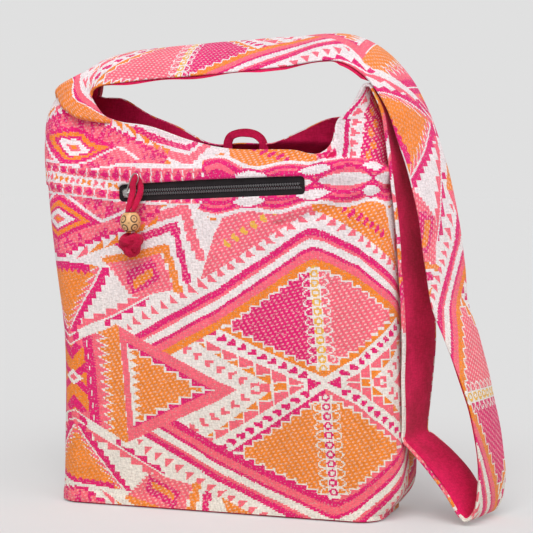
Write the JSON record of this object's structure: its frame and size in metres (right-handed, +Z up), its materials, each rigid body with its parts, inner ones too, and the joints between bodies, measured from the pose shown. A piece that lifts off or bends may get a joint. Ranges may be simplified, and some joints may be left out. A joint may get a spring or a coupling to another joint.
{
  "type": "woven shoulder bag",
  "caption": "Soft woven shoulder bag with a lined open mouth, a long looped cloth strap and a zipped front pocket with a beaded puller.",
  "frame": {"origin": "on the base underside, below the middle of the body's width and depth", "axes": "+X to the right seen from the zipped front, +Y to the back, +Z up"},
  "size_m": [0.4871, 0.1291, 0.4848],
  "materials": {
    "jacquard": "woven cotton jacquard, cream with pink and orange",
    "crimson_cotton": "plain woven cotton",
    "zip_tape": "black woven tape",
    "zip_coil": "satin nylon",
    "slider_metal": "plated zinc and steel wire",
    "bead_wood": "carved and stained"
  },
  "bodies": {
    "bag": {"body_shell": "jacquard", "body_lining": "crimson_cotton", "base_panel": "crimson_cotton", "base_piping": "crimson_cotton", "strap_cover": "jacquard", "strap_lining": "crimson_cotton", "closing_loop": "crimson_cotton", "pocket_bag": "crimson_cotton", "zip_tape_upper": "zip_tape", "zip_tape_lower": "zip_tape", "zip_coil_upper": "zip_coil", "zip_coil_lower": "zip_coil"},
    "slider": {"zip_slider": "slider_metal"},
    "puller": {"zip_puller": "slider_metal"},
    "pendant": {"puller_cord": "crimson_cotton", "puller_bead": "bead_wood", "puller_knot": "crimson_cotton"}
  },
  "joints": [
    {"name": "zip_slide", "type": "slide", "parent": "bag", "child": "slider", "axis": [0.9992, 0, 0.0401], "range_m": [0, 0.175]},
    {"name": "puller_swing", "type": "hinge", "parent": "slider", "child": "puller", "pos_m": [-0.09843, -0.0508, 0.32195], "axis": [-0.0401, 0, 0.9992], "range_deg": [-70, 0]},
    {"name": "pendant_swing", "type": "hinge", "parent": "puller", "child": "pendant", "pos_m": [-0.08562, -0.05772, 0.34166], "axis": [0, 1, 0], "range_deg": [-18, 0]}
  ]
}
